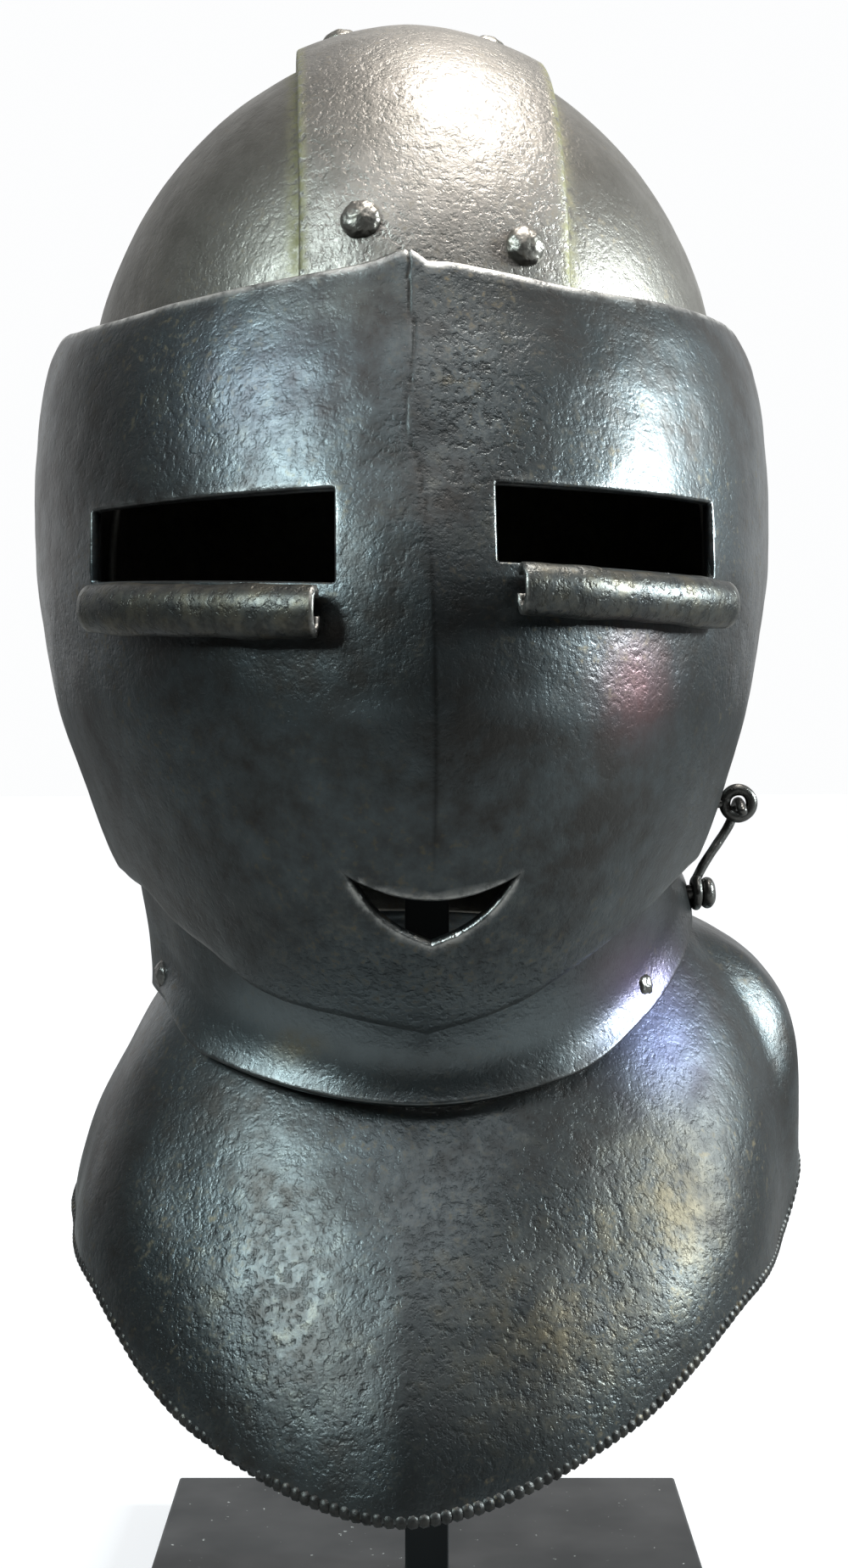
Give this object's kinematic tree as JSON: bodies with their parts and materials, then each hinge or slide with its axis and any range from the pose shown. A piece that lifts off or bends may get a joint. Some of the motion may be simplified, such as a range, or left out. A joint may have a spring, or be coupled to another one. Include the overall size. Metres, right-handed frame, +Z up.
{
  "type": "siege helmet on a display stand",
  "caption": "Heavy close helmet with eye slots, rolled lips, a mouth cut, a lifting visor and bevor, a flared roped collar and a side hook latch, on a square post stand.",
  "frame": {"origin": "underside of the stand, straight below the middle of the temple bolts", "axes": "+Z up, the face looks along -Y, +X towards the latch (the viewer's right)"},
  "size_m": [0.2227, 0.266, 0.4646],
  "materials": {
    "worn_steel": "worn, brown-grey patina",
    "blackened_steel": "blackened, pitted, half polished",
    "dark_iron": "dark forged iron",
    "black_lacquer": "satin black"
  },
  "bodies": {
    "helmet_on_stand": {"skull": "worn_steel", "crown_plate": "worn_steel", "crown_rivet_front_left": "worn_steel", "crown_rivet_front_right": "worn_steel", "crown_rivet_top_left": "worn_steel", "crown_rivet_top_right": "worn_steel", "collar_back": "blackened_steel", "collar_rivet_back_left": "dark_iron", "collar_rivet_back_right": "dark_iron", "pivot_left": "dark_iron", "pivot_right": "dark_iron", "stand_base": "black_lacquer", "stand_post": "black_lacquer", "stand_pad": "black_lacquer"},
    "bevor_and_collar": {"bevor": "blackened_steel", "collar_front": "blackened_steel", "collar_rivet_front_left": "dark_iron", "collar_rivet_front_right": "dark_iron", "latch_stud": "dark_iron"},
    "visor_and_ring": {"visor": "blackened_steel", "latch_eye": "dark_iron"},
    "hook": {"latch_hook": "dark_iron"}
  },
  "joints": [
    {"name": "bevor_lift", "type": "hinge", "parent": "helmet_on_stand", "child": "bevor_and_collar", "pos_m": [0, 0, 0.355], "axis": [-1, 0, 0], "range_deg": [0, 40]},
    {"name": "visor_lift", "type": "hinge", "parent": "bevor_and_collar", "child": "visor_and_ring", "pos_m": [0, 0, 0.355], "axis": [-1, 0, 0], "range_deg": [0, 55]},
    {"name": "hook_swing", "type": "hinge", "parent": "bevor_and_collar", "child": "hook", "pos_m": [0.085, -0.03, 0.2155], "axis": [-1, 0, 0], "range_deg": [0, 90]}
  ]
}
